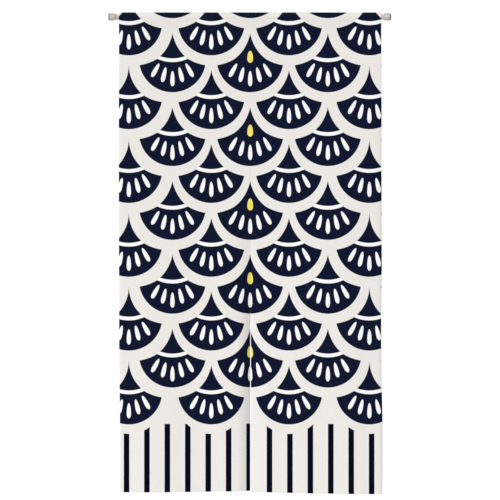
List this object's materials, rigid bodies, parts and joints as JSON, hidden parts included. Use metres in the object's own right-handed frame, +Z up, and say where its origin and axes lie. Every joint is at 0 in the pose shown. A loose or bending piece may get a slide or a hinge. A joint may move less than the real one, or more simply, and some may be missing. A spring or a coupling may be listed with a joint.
{
  "type": "noren curtain on a tension rod",
  "caption": "Printed noren door curtain in one length, slit up the middle from the hem, hung by its rod pocket on a round tension rod with end caps.",
  "frame": {"origin": "on the rod's axis, in the middle of the left end cap's flat end face", "axes": "+X along the rod to the right end cap, +Z up, the printed front of the cloth faces -Y"},
  "size_m": [0.883, 0.0238, 1.506],
  "materials": {
    "printed_cloth": "plain-weave off-white cloth printed in navy with a little yellow",
    "rod_enamel": "smooth warm-grey enamel on steel tube",
    "cap_plastic": "soft matte beige-grey plastic"
  },
  "bodies": {
    "root": {"noren_cloth": "printed_cloth", "tension_rod": "rod_enamel", "end_cap_left": "cap_plastic", "end_cap_right": "cap_plastic"}
  },
  "joints": []
}
